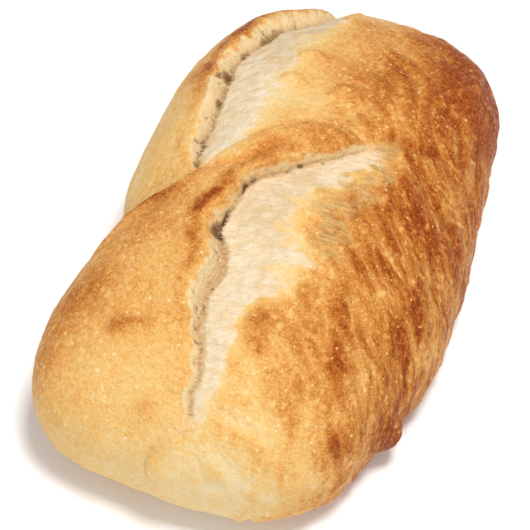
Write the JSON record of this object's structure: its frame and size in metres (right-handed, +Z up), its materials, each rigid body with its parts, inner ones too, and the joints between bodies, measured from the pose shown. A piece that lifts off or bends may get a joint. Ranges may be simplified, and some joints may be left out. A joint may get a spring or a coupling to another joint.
{
  "type": "sourdough loaf",
  "caption": "Oblong sourdough loaf with diagonal slashes that tore open, raised flaps of crust, a wrinkled flank and a flat base.",
  "frame": {"origin": "centre of the loaf's outline seen from above, on the surface that it rests on", "axes": "+Y along the loaf, towards the end that the second slash runs over; +X across it, towards the wrinkled flank; +Z up"},
  "size_m": [0.1536, 0.2482, 0.0835],
  "materials": {
    "crust": "matte, baked golden brown, with pale torn crumb in the slashes"
  },
  "bodies": {
    "root": {"loaf": "crust"}
  },
  "joints": []
}
